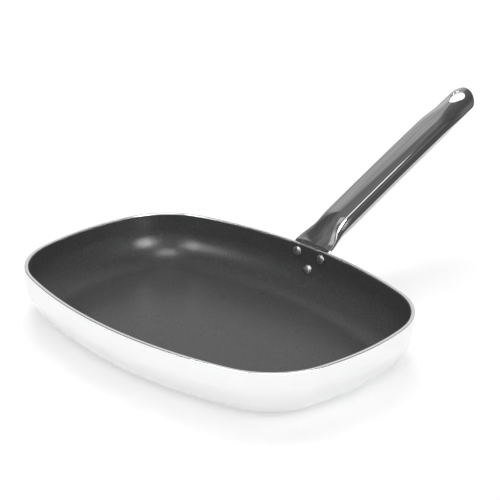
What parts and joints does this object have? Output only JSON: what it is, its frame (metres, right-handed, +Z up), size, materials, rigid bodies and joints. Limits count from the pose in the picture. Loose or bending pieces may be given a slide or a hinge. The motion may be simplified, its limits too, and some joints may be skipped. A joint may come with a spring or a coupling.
{
  "type": "frying pan",
  "caption": "Rectangular pressed aluminium frying pan with bulged sides, non-stick lining and a riveted tubular steel handle with a hanging hole.",
  "frame": {"origin": "centre of the flat base's underside, on the surface that the pan stands on", "axes": "+X along the pan's long rim, +Y from the pan towards the handle's tip, +Z up"},
  "size_m": [0.3598, 0.4788, 0.1575],
  "materials": {
    "pressed_aluminium": "satin",
    "nonstick_lining": "low sheen, speckled",
    "polished_steel": "polished, with fine drawn lines",
    "rivet_aluminium": "polished"
  },
  "bodies": {
    "root": {"pan_body": "pressed_aluminium", "nonstick_coating": "nonstick_lining", "handle": "polished_steel", "rivet_left": "rivet_aluminium", "rivet_right": "rivet_aluminium", "rivet_lower": "rivet_aluminium"}
  },
  "joints": []
}
